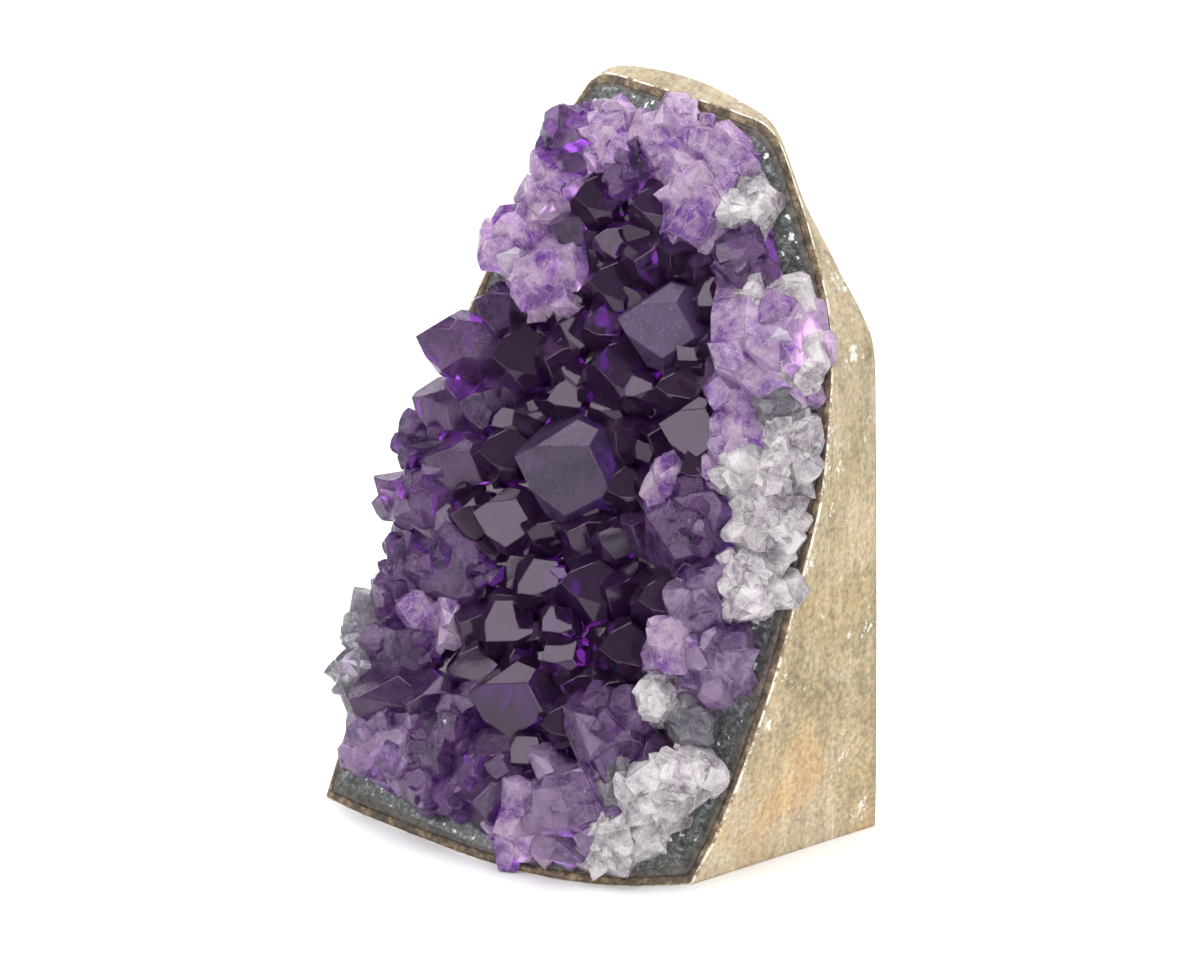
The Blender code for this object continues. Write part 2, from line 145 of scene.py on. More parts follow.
# Crystals in mm on the leaning face: across, up, width, rise of the tip,
# lean across, lean up, turn about the long axis in degrees, kind
CRYSTALS = (
    (-9, 134, 12, 8, -0.15, 0.0, 105, "deep"), (5, 134, 12, 8, -0.15, 0.0, 110, "deep"),
    (-4, 126, 9, 6, -0.2, 0.1, 80, "deep"), (-3, 117, 12, 8, -0.15, 0.0, 100, "deep"),
    (6, 123, 12, 8, 0.1, -0.1, 80, "deep"), (13, 125, 10, 7, 0.3, 0.0, 75, "deep"),
    (10, 111, 18, 11, -0.6, 0.0, 57, "frost"), (22, 116, 11, 7, 0.0, -0.2, 35, "deep"),
    (19, 123, 10, 6, 0.2, 0.0, 70, "deep"), (-15, 127, 9, 6, -0.2, 0.0, 70, "mid"),
    (-26, 124, 15, 10, -0.6, 0.1, 25, "lilac"), (-18, 116, 13, 10, -0.3, -0.2, 50, "lilac"),
    (-12, 110, 9, 6, 0.0, 0.2, 80, "deep"), (-17, 146, 12, 8, -0.6, 0.1, 35, "rough"),
    (-19, 136, 10, 8, -0.6, 0.0, 85, "lilac"), (-9, 147, 12, 7, -0.2, 0.1, 45, "lilac"),
    (-1, 142, 10, 6, 0.0, 0.1, 65, "rough"), (5, 148, 13, 6, 0.0, -0.1, 95, "lilac"),
    (14, 147, 11, 6, 0.1, 0.0, 20, "lilac"), (21, 145, 10, 5, 0.3, 0.2, 75, "lilac"),
    (17, 135, 16, 10, 0.2, -0.2, 55, "lilac"), (27, 137, 8, 5, 0.4, 0.1, 10, "white"),
    (28, 127, 12, 7, 0.2, 0.0, 30, "rough"), (33, 119, 6, 4, 0.4, 0.0, 60, "white"),
    (12, 142, 10, 7, 0.0, 0.1, 5, "lilac"), (-36, 100, 13, 12, -0.95, 0.0, 40, "mid"),
    (-22, 99, 15, 10, -0.15, 0.0, 108, "deep"), (-12, 100, 11, 7, 0.1, -0.1, 78, "deep"),
    (-9, 92, 10, 7, -0.2, 0.0, 112, "deep"), (-10, 107, 10, 6, -0.1, 0.2, 85, "deep"),
    (-3, 108, 11, 7, -0.1, -0.1, 0, "deep"), (2, 100, 15, 9, -0.15, 0.1, 102, "deep"),
    (1, 92, 9, 6, -0.3, 0.0, 5, "deep"), (-18, 88, 9, 5, -0.1, 0.0, 25, "deep"),
    (-26, 91, 9, 5, -0.1, 0.1, 65, "mid"), (-23, 79, 13, 8, -0.15, 0.0, 105, "deep"),
    (-6, 79, 22, 14, -0.5, 0.0, 53, "frost"), (-19, 66, 14, 9, -0.6, 0.0, 60, "deep"),
    (-28, 65, 12, 7, -0.2, 0.0, 75, "deep"), (-35, 61, 13, 8, -0.4, 0.0, 105, "mid"),
    (-34, 76, 14, 9, -0.4, -0.1, 45, "mid"), (-37, 87, 12, 10, -0.7, 0.1, 20, "mid"),
    (-30, 88, 11, 7, -0.2, 0.1, 75, "mid"), (-41, 78, 11, 9, -0.8, 0.0, 5, "rough"),
    (-42, 65, 12, 9, -0.8, 0.0, 95, "rough"), (-29, 109, 11, 7, -0.4, 0.2, 60, "mid"),
    (-22, 109, 9, 6, -0.1, 0.0, 30, "deep"), (8, 76, 10, 7, -0.1, -0.1, 0, "deep"),
    (14, 78, 9, 5, 0.0, 0.0, 70, "deep"), (7, 87, 11, 7, 0.2, 0.1, 72, "deep"),
    (8, 66, 9, 7, 0.0, 0.2, 78, "deep"), (0, 66, 13, 7, 0.0, 0.0, 72, "deep"),
    (-9, 65, 12, 7, 0.0, -0.1, 80, "deep"), (14, 69, 11, 6, 0.1, 0.1, 84, "mid"),
    (9, 96, 9, 8, 0.0, -0.2, 30, "deep"), (17, 98, 12, 8, -0.15, 0.0, 110, "deep"),
    (19, 105, 9, 7, 0.1, -0.2, 35, "deep"), (26, 101, 10, 6, 0.0, -0.2, 25, "mid"),
    (22, 91, 14, 10, -0.6, 0.0, 57, "deep"), (25, 83, 13, 8, -0.1, -0.1, 3, "deep"),
    (14, 88, 9, 5, 0.0, 0.0, 76, "deep"), (20, 78, 10, 7, 0.2, 0.1, 65, "mid"),
    (34, 93, 11, 8, 0.3, 0.1, 20, "lilac"), (33, 86, 9, 5, 0.3, 0.0, 110, "lilac"),
    (29, 72, 19, 11, 0.3, 0.0, 45, "rough"), (40, 83, 13, 6, 0.4, 0.0, 75, "white"),
    (43, 92, 13, 5, 0.4, 0.1, 30, "white"), (43, 74, 14, 5, 0.5, 0.0, 95, "white"),
    (41, 99, 10, 5, 0.4, 0.0, 15, "grey"), (35, 109, 22, 12, 0.2, 0.1, 60, "lilac"),
    (44, 107, 9, 5, 0.4, 0.0, 85, "white"), (38, 116, 10, 5, 0.3, 0.1, 40, "white"),
    (24, 109, 9, 6, 0.1, 0.1, 5, "deep"), (-32, 53, 17, 9, -0.2, 0.2, 50, "rough"),
    (-40, 55, 12, 8, -0.6, 0.1, 105, "rough"), (-32, 44, 10, 9, -0.3, 0.1, 62, "lilac"),
    (-42, 46, 13, 9, -0.6, 0.0, 70, "rough"), (-46, 38, 12, 9, -0.8, 0.0, 10, "grey"),
    (-48, 28, 13, 8, -0.7, -0.1, 55, "grey"), (-39, 36, 14, 9, -0.4, 0.0, 90, "rough"),
    (-39, 24, 17, 11, -0.4, -0.1, 35, "mid"), (-28, 25, 14, 9, 0.0, 0.0, 80, "mid"),
    (-21, 43, 11, 7, 0.0, 0.1, 70, "deep"), (-13, 42, 14, 8, 0.0, -0.2, 35, "deep"),
    (-8, 53, 12, 8, 0.0, -0.2, 25, "deep"), (3, 55, 15, 9, -0.2, 0.1, 104, "deep"),
    (0, 46, 9, 9, 0.0, -0.1, 30, "deep"), (2, 40, 9, 8, -0.2, -0.1, 15, "deep"),
    (-20, 34, 11, 7, -0.2, 0.0, 100, "deep"), (-9, 30, 17, 10, -0.6, 0.0, 55, "deep"),
    (-21, 17, 16, 9, -0.1, -0.1, 85, "rough"), (-31, 14, 14, 7, -0.2, -0.2, 5, "haze"),
    (-16, 26, 9, 7, 0.0, 0.1, 65, "rough"), (-7, 18, 12, 8, 0.0, 0.1, 40, "mid"),
    (0, 19, 9, 7, 0.0, -0.2, 30, "deep"), (5, 27, 12, 7, -0.2, 0.0, 103, "deep"),
    (12, 24, 10, 5, -0.2, 0.1, 98, "deep"), (18, 27, 16, 9, 0.1, 0.1, 15, "rough"),
    (15, 44, 13, 9, -0.15, 0.0, 106, "deep"), (21, 55, 14, 9, -0.1, 0.0, 112, "deep"),
    (11, 56, 12, 6, 0.0, 0.0, 66, "deep"), (5, 35, 12, 5, 0.0, 0.0, 75, "deep"),
    (13, 35, 11, 5, 0.0, 0.0, 82, "deep"), (32, 57, 13, 7, 0.3, 0.1, 10, "haze"),
    (29, 46, 13, 8, 0.2, 0.0, 60, "lilac"), (37, 44, 12, 6, 0.4, 0.0, 90, "haze"),
    (27, 64, 12, 7, 0.2, 0.0, 30, "mid"), (39, 63, 11, 5, 0.4, 0.0, 75, "white"),
    (26, 36, 6, 7, 0.1, 0.2, 100, "white"), (34, 33, 7, 3, 0.3, 0.0, 20, "grey"),
    (36, 23, 11, 5, 0.4, 0.1, 65, "white"), (29, 15, 12, 6, 0.3, 0.0, 45, "white"),
    (23, 6, 10, 4, 0.1, 0.0, 85, "white"), (13, 12, 18, 10, 0.1, 0.0, 5, "haze"),
    (22, 16, 12, 6, 0.1, 0.0, 55, "grey"), (-5, 9, 15, 9, 0.0, 0.0, 95, "mid"),
    (3, 5, 12, 5, 0.0, -0.1, 25, "lilac"), (-13, 10, 11, 6, -0.1, 0.0, 70, "rough"),
    (27, 25, 9, 5, 0.2, 0.0, 15, "mid"), (43, 62, 12, 4, 0.4, 0.0, 40, "white"),
    (-22, 8, 11, 6, -0.1, -0.2, 20, "rough"), (-40, 14, 10, 6, -0.3, -0.2, 50, "haze"),
    # The pale points stand where glints show; their pale colour is partly a painted glint
    (-22, 119, 7, 11, -0.4, 0.0, 50, "pale"), (-44, 30, 6, 10, -0.5, 0.1, 20, "pale"),
    (-17, 23, 5, 8, -0.1, 0.1, 80, "pale"), (19, 79, 8, 8, 0.0, 0.0, 40, "lilac"),
    (-2, 17, 6, 9, -0.6, 0.0, 57, "mid"), (40, 110, 7, 10, 0.1, 0.1, 100, "pale"),
)

# Small crystals between the large ones, in two sizes: the number sought, widths in
# mm, rise and spacing as shares of the width; then the field in mm where they are
# tried, the tries for each, their greatest lean, the share that is broken quartz,
# and the play in their rise
SATELLITES = 170
SATELLITE_WIDTH = (4.0, 8.0)
SATELLITE_RISE = 0.40
SATELLITE_SPACING = 0.9
DRUSE = 750
DRUSE_WIDTH = (1.6, 3.4)
DRUSE_RISE = 0.6
DRUSE_SPACING = 0.65
FIELD_ACROSS = (-52.0, 50.0)
FIELD_UP = (1.0, 158.0)
TRIES_EACH = 30
SMALL_LEAN = 0.6
CHUNK_SHARE = 0.6
RISE_PLAY = (0.7, 1.3)

# Tones of the facets and of their worn edges, and how fast they change; the facet tone is a
# painted reflection and the edge tone a painted highlight
EDGE_HIGHLIGHT_TONE = 0.8
FACET_REFLECTION_TONE = 0.7
FACET_PITCH = 2.3
PLACE_PITCH = 900.0
CORE_TONE = (0.0, 0.5)

# Broken quartz: width of the block before it breaks as a share, tilt of the breaks
# in radians, their distance as a share, and their number on a core and a small piece
BLOCK_SHARE = 1.3
BREAK_TILT = (0.15, 1.45)
BREAK_REACH = (0.80, 1.10)
CORE_BREAKS = 18
PIECE_BREAKS = 9

# Rough knobs: shares of the knob's width or rise that shape its core, the dome
# of small pieces over it and the way these fan out
CORE_WIDTH = 0.9
CORE_RISE = 0.85
DOME_RADIUS = 0.52
DOME_CROWDING = 0.6
DOME_DROP = 1.6
DOME_EDGE = 0.62
FAN = 1.1
FAN_PLAY = 0.4
PIECE_SINK = 0.55
PIECE_ROOT = 0.9
POINT_RISE = 0.9
CHUNK_RISE = 0.8

# A closed shell of fewer faces inside the crust is a pocket that the union left
POCKET_FACES = 100

# Cutters that shape the underside of the crust to its bed and keep it off the ground
CUTTER_REACH = 60.0 * MM
CUTTER_MARGIN = 25.0 * MM
CUTTER_CUBE = 0.3

# Material slots of the rind and of the agate
STONE_SLOT, CREAM_SLOT, BROWN_SLOT = range(3)
AGATE_SLOT, BED_SLOT, AGATE_EDGE_SLOT = range(3)

# Relief of the ground side and of the polished band as noises, each with its
# frequency and its height in mm, and the rings that carry it
SIDE_RELIEF = ((60.0, 0.22), (240.0, 0.10))
SAW_RELIEF = ((700.0, 0.05),)
SAW_STRETCH = 0.2
SIDE_LEVELS = 14
SIDE_LAST = 0.985
RELIEF_FADE = 3.0 * MM
BAND_RELIEF = ((300.0, 0.12), (900.0, 0.08))
BAND_LEVELS = 8
BAND_DARK_LEVELS = 2
BAND_INSET = 0.1 * MM
BAND_DROP = -0.1 * MM
BAND_FOOT = 0.3 * MM
CREAM_INSET = 0.35 * MM
CREAM_DROP = -0.05 * MM
BROWN_INSET = 1.0 * MM

# Kinds that grow as knobs: number of small pieces, their smallest and largest
# size in mm, and the share of them that are points
CLUSTERS = {
    "rough": (9, 3.0, 7.5, 0.6),
    "haze": (8, 3.5, 8.5, 0.5),
    "lilac": (9, 3.0, 8.5, 0.35),
    "white": (16, 2.0, 7.2, 0.35),
    "grey": (10, 2.4, 5.5, 0.5),
}

LEAN = atan(LEAN_SLOPE)
FACE_X = Vector((1.0, 0.0, 0.0))
FACE_UP = Vector((0.0, sin(LEAN), cos(LEAN)))
FACE_OUT = Vector((0.0, -cos(LEAN), sin(LEAN)))
FACE_START = Vector((0.0, FACE_START_Y, 0.0))
FACE_CENTRE = Vector((FACE_CENTRE_X, FACE_START_Y + LEAN_SLOPE * FACE_CENTRE_Z, FACE_CENTRE_Z))

# Finish of each kind of crystal: name, dark and light colour, roughness from and
# to, transmission, colour and density of the absorption, strength of the growth
# and pit relief, contrast of the clouds, amount of pale flecks, which are partly painted glints
# and partly dust and fine scratches
FINISHES = {
    "deep": ("amethyst_deep", (0.16, 0.05, 0.22), (0.34, 0.16, 0.44), (0.02, 0.09), 0.93,
             (0.55, 0.20, 0.66), 255.0, (0.010, 0.025), 1.6, 0.0),
    "frost": ("amethyst_frost", (0.05, 0.03, 0.10), (0.30, 0.17, 0.44), (0.24, 0.50), 0.82,
              (0.58, 0.26, 0.72), 180.0, (0.03, 0.10), 3.0, 0.15),
    "mid": ("amethyst_mid", (0.13, 0.015, 0.28), (0.78, 0.38, 0.96), (0.03, 0.16), 0.92,
            (0.62, 0.27, 0.77), 150.0, (0.10, 0.20), 3.6, 0.6),
    "rough": ("amethyst_rough", (0.05, 0.006, 0.14), (0.60, 0.27, 0.80), (0.04, 0.24), 0.86,
              (0.64, 0.30, 0.80), 115.0, (0.25, 0.45), 4.6, 0.5),
    "haze": ("amethyst_haze", (0.12, 0.035, 0.26), (0.76, 0.52, 0.86), (0.06, 0.28), 0.74,
             (0.76, 0.44, 0.88), 80.0, (0.25, 0.35), 4.4, 0.6),
    "lilac": ("amethyst_lilac", (0.27, 0.06, 0.52), (1.0, 0.76, 1.0), (0.08, 0.32), 0.64,
              (0.86, 0.57, 0.93), 56.0, (0.25, 0.35), 4.2, 0.6),
    # Pale quartz, its colour partly a painted glint
    "pale": ("quartz_pale_glint", (0.50, 0.36, 0.60), (0.94, 0.86, 0.95), (0.10, 0.25), 0.50,
             (0.88, 0.76, 0.92), 30.0, (0.5, 0.4), 3.6, 0.5),
    "white": ("quartz_white", (0.23, 0.20, 0.23), (1.0, 0.96, 0.97), (0.12, 0.40), 0.42,
              (0.94, 0.90, 0.92), 12.0, (0.25, 0.35), 3.4, 0.6),
    "grey": ("quartz_grey", (0.20, 0.18, 0.23), (0.68, 0.66, 0.72), (0.10, 0.35), 0.72,
             (0.75, 0.72, 0.80), 30.0, (0.2, 0.35), 3.2, 0.5),
}
KINDS = tuple(FINISHES)
SINGLE_KINDS = ("pale", "frost")
QUARTZ_IOR = 1.544
GLINT_TINT = (0.97, 0.86, 1.0)
GLINT_AND_DUST_COLOUR = (0.94, 0.90, 0.95)
CLOUD_LEVEL = -0.42
TONE_SHARE = 0.5

# Noises in the crystals: scale, detail, roughness; then the places on them where
# the pale flecks (partly painted glints, partly dust and scratches) and gloss change, and the
# depths of the relief
CLOUD_NOISE = (170.0, 7.0, 0.80)
PIT_NOISE = (1100.0, 4.0, 0.7)
SWAY_NOISE = (75.0, 1.0, 0.5)
GROWTH_SCALE = 260.0
GLINT_AND_DUST_PLACES = (0.60, 0.70)
PIT_GLOSS_PLACES = (0.35, 0.75)
SWAY_STRENGTH = 0.35
SWAY_DEPTH = 1.0 * MM
GROWTH_DEPTH = 0.4 * MM
PIT_DEPTH = 0.3 * MM

# Noises of the ground stone: scale, detail, roughness, stretch
STONE_NOISES = {
    "broad": (28.0, 6.0, 0.65, None),
    "tints": (46.0, 5.0, 0.6, None),
    "streaks": (1.0, 4.0, 0.5, (360.0, 360.0, 34.0)),
    "grain": (900.0, 5.0, 0.75, None),
    "rust": (420.0, 4.0, 0.7, None),
    "scratches": (1.0, 2.0, 0.5, (900.0, 900.0, 60.0)),
    "chips": (120.0, 6.0, 0.75, None),
}

# Two steps on each of these noises: place and grey
STONE_STEPS = {
    "tints": ((0.46, 0.0), (0.66, 0.9)),
    "streaks": ((0.33, 0.34), (0.67, 0.66)),
    "grain": ((0.33, 0.22), (0.70, 0.68)),
    "rust": ((0.48, 0.0), (0.64, 0.5)),
    "scratches": ((0.69, 0.0), (0.76, 0.45)),
    "chips": ((0.61, 0.0), (0.64, 0.9)),
}
STREAK_SHARE = 0.5
GRAIN_SHARE = 0.95
STONE_GLOSS = ((0.3, 0.62), (0.7, 0.85))
STREAK_STRENGTH = 0.25
STREAK_DEPTH = 0.4 * MM
GRAIN_STRENGTH = 0.35
GRAIN_DEPTH = 0.3 * MM

# Colours of the stone's stains, scratches and chips, and the heights of its shading
WARM_STAIN = (0.64, 0.46, 0.22)
WARM_HEIGHTS = (0.085, 0.010)
RUST_STAIN = (0.58, 0.42, 0.24)
SCRATCH_COLOUR = (0.86, 0.82, 0.72)
CHIP_COLOUR = (0.86, 0.82, 0.74)
SHADE_HEIGHTS = (0.070, 0.155)
SHADE_LEVELS = (1.0, 0.72)
BASALT_TONES = (
    (0.34, (0.32, 0.26, 0.15)), (0.42, (0.47, 0.39, 0.24)), (0.50, (0.57, 0.49, 0.34)),
    (0.60, (0.62, 0.54, 0.40)), (0.72, (0.55, 0.43, 0.25)),
)

# Speckled stones of the rind and of the agate, in the order of their slots: colour
# steps, scale, roughness from and to, relief, amount of crumbs, amount of patches
RIM_FINISHES = {
    "rim_cream": (((0.42, (0.26, 0.18, 0.10)), (0.52, (0.88, 0.82, 0.68))),
                  330.0, (0.6, 0.8), 0.6, 0.0, 0.0),
    "rim_brown": (((0.36, (0.04, 0.03, 0.025)), (0.50, (0.13, 0.09, 0.055)),
                   (0.66, (0.40, 0.30, 0.18))),
                  420.0, (0.5, 0.7), 0.6, 0.0, 0.0),
}
AGATE_FINISHES = {
    "agate_band": (((0.34, (0.026, 0.029, 0.029)), (0.5, (0.082, 0.090, 0.088)),
                    (0.66, (0.30, 0.31, 0.32))),
                   900.0, (0.25, 0.45), 0.2, 0.9, 0.8),
    "quartz_bed": (((0.35, (0.42, 0.38, 0.46)), (0.65, (0.66, 0.62, 0.70))),
                   400.0, (0.5, 0.7), 0.3, 0.0, 0.0),
    "agate_edge": (((0.36, (0.020, 0.017, 0.015)), (0.64, (0.15, 0.13, 0.11))),
                   600.0, (0.4, 0.6), 0.4, 0.0, 0.0),
}
SPECKLE_DETAIL = 5.0
SPECKLE_ROUGHNESS = 0.75
SPECKLE_GLOSS_PLACES = (0.3, 0.7)
SPECKLE_DEPTH = 0.3 * MM
PATCH_NOISE = (110.0, 4.0, 0.6)
PATCH_STEPS = ((0.38, 0.30), (0.62, 0.66))
CRUMB_NOISE = (420.0, 3.0, 0.6)
CRUMB_PLACES = (0.645, 0.675)
CRUMB_COLOUR = (0.86, 0.86, 0.84)

# Studio: floor, world, and the soft boxes with place, aim, width, height and watts
FLOOR_SIZE = 4.0
FLOOR_DROP = -0.00005
FLOOR_GREY = 0.95
FLOOR_ROUGHNESS = 0.9
WORLD_STRENGTH = 0.42
SOFT_BOXES = (
    ("top_left_box", (-0.20, -0.15, 0.75), (-0.20, 0.0, 0.05), 0.25, 0.62, 1.3),
    ("top_box", (0.05, -0.15, 0.75), (0.05, 0.0, 0.05), 0.25, 0.62, 1.55),
    ("top_right_box", (0.30, -0.15, 0.75), (0.30, 0.0, 0.05), 0.25, 0.62, 1.5),
    ("right_box", (0.75, -0.38, 0.30), (0.0, 0.0, 0.07), 0.50, 0.55, 2.1),
    ("left_box", (-0.55, -0.55, 0.35), (0.0, 0.0, 0.07), 0.35, 0.45, 2.0),
    ("front_box", (0.10, -0.90, 0.10), (0.0, 0.0, 0.07), 0.34, 0.24, 0.8),
    ("floor_wash", (-0.7, 1.6, 1.6), (-0.7, 1.2, 0.0), 3.0, 2.0, 60.0),
)

# Camera of the photograph
CAMERA_EYE = Vector((0.4144, -0.6562, 0.3120))
CAMERA_TARGET = Vector((0.00896, -0.00737, 0.07809))
CAMERA_LENS = 119.04
CAMERA_SENSOR = 36.0


def make_object(name, bm, mats):
    """Turns a mesh in the making into an object of the scene."""
    mesh = bpy.data.meshes.new(name)
    bm.to_mesh(mesh)
    bm.free()
    for mat in mats:
        mesh.materials.append(mat)
    obj = bpy.data.objects.new(name, mesh)
    bpy.context.scene.collection.objects.link(obj)
    return obj


# Rim

def blend_rows(a, b, c, d, t):
    """Smooth curve from row b to row c, with a and d for its slopes."""
    row = []
    for p0, p1, p2, p3 in zip(a, b, c, d):
        row.append(
            0.5 * (2.0 * p1 + (p2 - p0) * t + (2.0 * p0 - 5.0 * p1 + 4.0 * p2 - p3) * t * t
                   + (3.0 * p1 - p0 - 3.0 * p2 + p3) * t * t * t)
        )
    return row


def smooth_run(rows):
    """Open run of rows, sampled; the last row is left to the next run."""
    out = []
    for i in range(len(rows) - 1):
        a = rows[max(i - 1, 0)]
        d = rows[min(i + 2, len(rows) - 1)]
        for k in range(STEPS_PER_STRETCH):
            out.append(blend_rows(a, rows[i], rows[i + 1], d, k / STEPS_PER_STRETCH))
    return out


def fine_rim():
    """The rim's rows, sampled: level along the base, then over the arch."""
    base = smooth_run(RIM[:LAST_BASE_POINT + 1])
    for row in base:
        row[2] = 0.0
        row[4] = 0.0
    arch = smooth_run(RIM[LAST_BASE_POINT:] + RIM[:1])
    return base + arch


FINE = fine_rim()
FRONT = [Vector(row[:3]) * MM for row in FINE]
BACK = [Vector((row[3] * MM, BACK_Y, row[4] * MM)) for row in FINE]
BAND_WIDTH = [row[5] * MM for row in FINE]
BAND_EDGE = [row[6] * MM for row in FINE]
ON_BASE = [p.z < 1e-6 and q.z < 1e-6 for p, q in zip(FRONT, BACK)]


def recess(q):
    return min(RECESS_MAX, RECESS_SHARE * (BACK_Y - q.y))


def recess_floor(q):
    return -recess(q)


def band_floor(q):
    return recess_floor(q) + GAP


def band_top(q):
    return recess_floor(q) + GAP + BAND_SHARE * recess(q)


def crust_floor(q):
    return band_top(q) + GAP


def inset_ring(inset, height):
    """Ring inside the front edge, by a distance towards the centre of the face."""
    ring = []
    for i, p in enumerate(FRONT):
        to_centre = (FACE_CENTRE - p).normalized()
        ring.append(p + to_centre * inset(i) + FACE_OUT * height(i))
    return ring


def share_ring(share, height):
    """Ring inside the front edge, by a share of the way to the centre of the face."""
    ring = []
    for p in FRONT:
        q = p.lerp(FACE_CENTRE, share)
        ring.append(q + FACE_OUT * height(q))
    return ring


def crust_inset(i):
    return RIND_RIM_WIDTH + BAND_WIDTH[i] + CRUST_EDGE_INSET


def shoulder_inset(i):
    return RIND_RIM_WIDTH + SHOULDER_SHARE * BAND_WIDTH[i]


def shoulder_height(i):
    p = FRONT[i]
    q = p + (FACE_CENTRE - p).normalized() * shoulder_inset(i)
    return -SHOULDER_DEPTH_SHARE * recess(q)


def loft(rings, first_centre=None, last_centre=None, slots=None):
    """Closed skin through rings of equal count; an end closes flat or to a centre point."""
    bm = bmesh.new()
    loops = [[bm.verts.new(p) for p in ring] for ring in rings]
    count = len(rings[0])
    for level, (low, high) in enumerate(zip(loops[:-1], loops[1:])):
        for i in range(count):
            j = (i + 1) % count
            face = bm.faces.new((low[i], low[j], high[j], high[i]))
            face.material_index = slots[level] if slots else 0
            face.smooth = True
    for loop, centre in ((loops[0], first_centre), (loops[-1], last_centre)):
        if centre is None:
            bm.faces.new(loop)
            continue
        hub = bm.verts.new(centre)
        for i in range(count):
            bm.faces.new((loop[i], loop[(i + 1) % count], hub))
    bmesh.ops.recalc_face_normals(bm, faces=bm.faces[:])
    return bm


# Leaning face

def swell(u, v):
    """Bulge of the face towards its foot."""
    reach = SWELL_RIGHT if u > SWELL_CENTRE else SWELL_LEFT
    side = max(0.0, 1.0 - ((u - SWELL_CENTRE) / reach) ** 2)
    return SWELL * side * exp(-(max(v, 0.0) / SWELL_HEIGHT) ** 2)


def face_point(u, v, height):
    return FACE_START + FACE_X * u + FACE_UP * v + FACE_OUT * (swell(u, v) + height)


def to_face(p):
    d = p - FACE_START
    return d.x, d.dot(FACE_UP), d.dot(FACE_OUT)


# Crystals

def cut_flat(bm, point, normal):
    """Cuts off what lies beyond a plane and closes the cut with a flat face."""
    geom = bm.verts[:] + bm.edges[:] + bm.faces[:]
    bmesh.ops.bisect_plane(
        bm, geom=geom, dist=1e-7, plane_co=point, plane_no=normal, clear_outer=True
    )
    open_edges = [e for e in bm.edges if e.is_boundary]
    if open_edges:
        bmesh.ops.holes_fill(bm, edges=open_edges, sides=0)


def quartz_point(width, tip, root, bevel, rng):
    """Six-sided quartz point; the end faces are uneven, as on a grown crystal."""
    part = bmesh.new()
    corner = 0.5 * width / cos(radians(30.0))
    reach = tip + width
    bmesh.ops.create_cone(
        part, cap_ends=True, segments=6, radius1=corner, radius2=corner, depth=reach + root,
        matrix=Matrix.Translation((0.0, 0.0, 0.5 * (reach - root))),
    )
    for side in range(6):
        turn = radians(60.0 * side + 30.0)
        flat = sin(RHOMB_TILT)
        normal = Vector((cos(turn) * flat, sin(turn) * flat, cos(RHOMB_TILT)))
        lift = TIP_STEP * width if side % 2 else 0.0
        lift += rng.uniform(-TIP_PLAY, TIP_PLAY) * width
        cut_flat(part, Vector((0.0, 0.0, tip + lift)), normal)
    return worn(part, bevel)


def worn(part, bevel):
    """Rubs the edges down a little and marks the new narrow faces."""
    mark = part.faces.layers.int.new("worn")
    if bevel > 0.0:
        made = bmesh.ops.bevel(
            part, geom=part.edges[:], offset=bevel, segments=1, affect="EDGES", clamp_overlap=True
        )
        for face in made["faces"]:
            face[mark] = 1
    return part


def broken_chunk(width, tip, root, cuts, bevel, rng):
    """Massive piece of quartz, bounded by uneven breaks."""
    part = bmesh.new()
    bmesh.ops.create_cube(part, size=1.0)
    side = width * BLOCK_SHARE
    bmesh.ops.scale(part, vec=(side, side, tip + root + width), verts=part.verts[:])
    bmesh.ops.translate(part, vec=(0.0, 0.0, 0.5 * (tip - root + width)), verts=part.verts[:])
    for _ in range(cuts):
        turn = rng.uniform(0.0, 2.0 * pi)
        tilt = rng.uniform(*BREAK_TILT)
        normal = Vector((cos(turn) * sin(tilt), sin(turn) * sin(tilt), cos(tilt)))
        reach = tip * cos(tilt) ** 2 + 0.5 * width * sin(tilt) ** 2
        cut_flat(part, normal * reach * rng.uniform(*BREAK_REACH), normal)
    return worn(part, bevel)


def crystal_matrix(place, axis, twist):
    turn = Vector((0.0, 0.0, 1.0)).rotation_difference(axis.normalized())
    spin = Matrix.Rotation(twist, 4, "Z")
    return Matrix.Translation(place) @ turn.to_matrix().to_4x4() @ spin


def finish_part(part, matrix, kind, tone):
    """Puts a crystal in its place and gives each facet its kind and tone, with a painted
    reflection that changes from facet to facet and a painted highlight on the worn edges.
    """
    tone_and_glint_layer = part.faces.layers.float.new("tone")
    mark = part.faces.layers.int["worn"]
    bmesh.ops.transform(part, matrix=matrix, verts=part.verts[:])
    bmesh.ops.recalc_face_normals(part, faces=part.faces[:])
    for face in part.faces:
        face.material_index = KINDS.index(kind)
        # Painted reflection: facets of one crystal are lighter or darker by their direction;
        # painted highlight: worn edge faces are lighter
        facet = noise.noise(face.normal * FACET_PITCH + matrix.translation * PLACE_PITCH)
        face[tone_and_glint_layer] = tone + FACET_REFLECTION_TONE * facet + EDGE_HIGHLIGHT_TONE * face[mark]
    part.faces.layers.int.remove(mark)
    return part


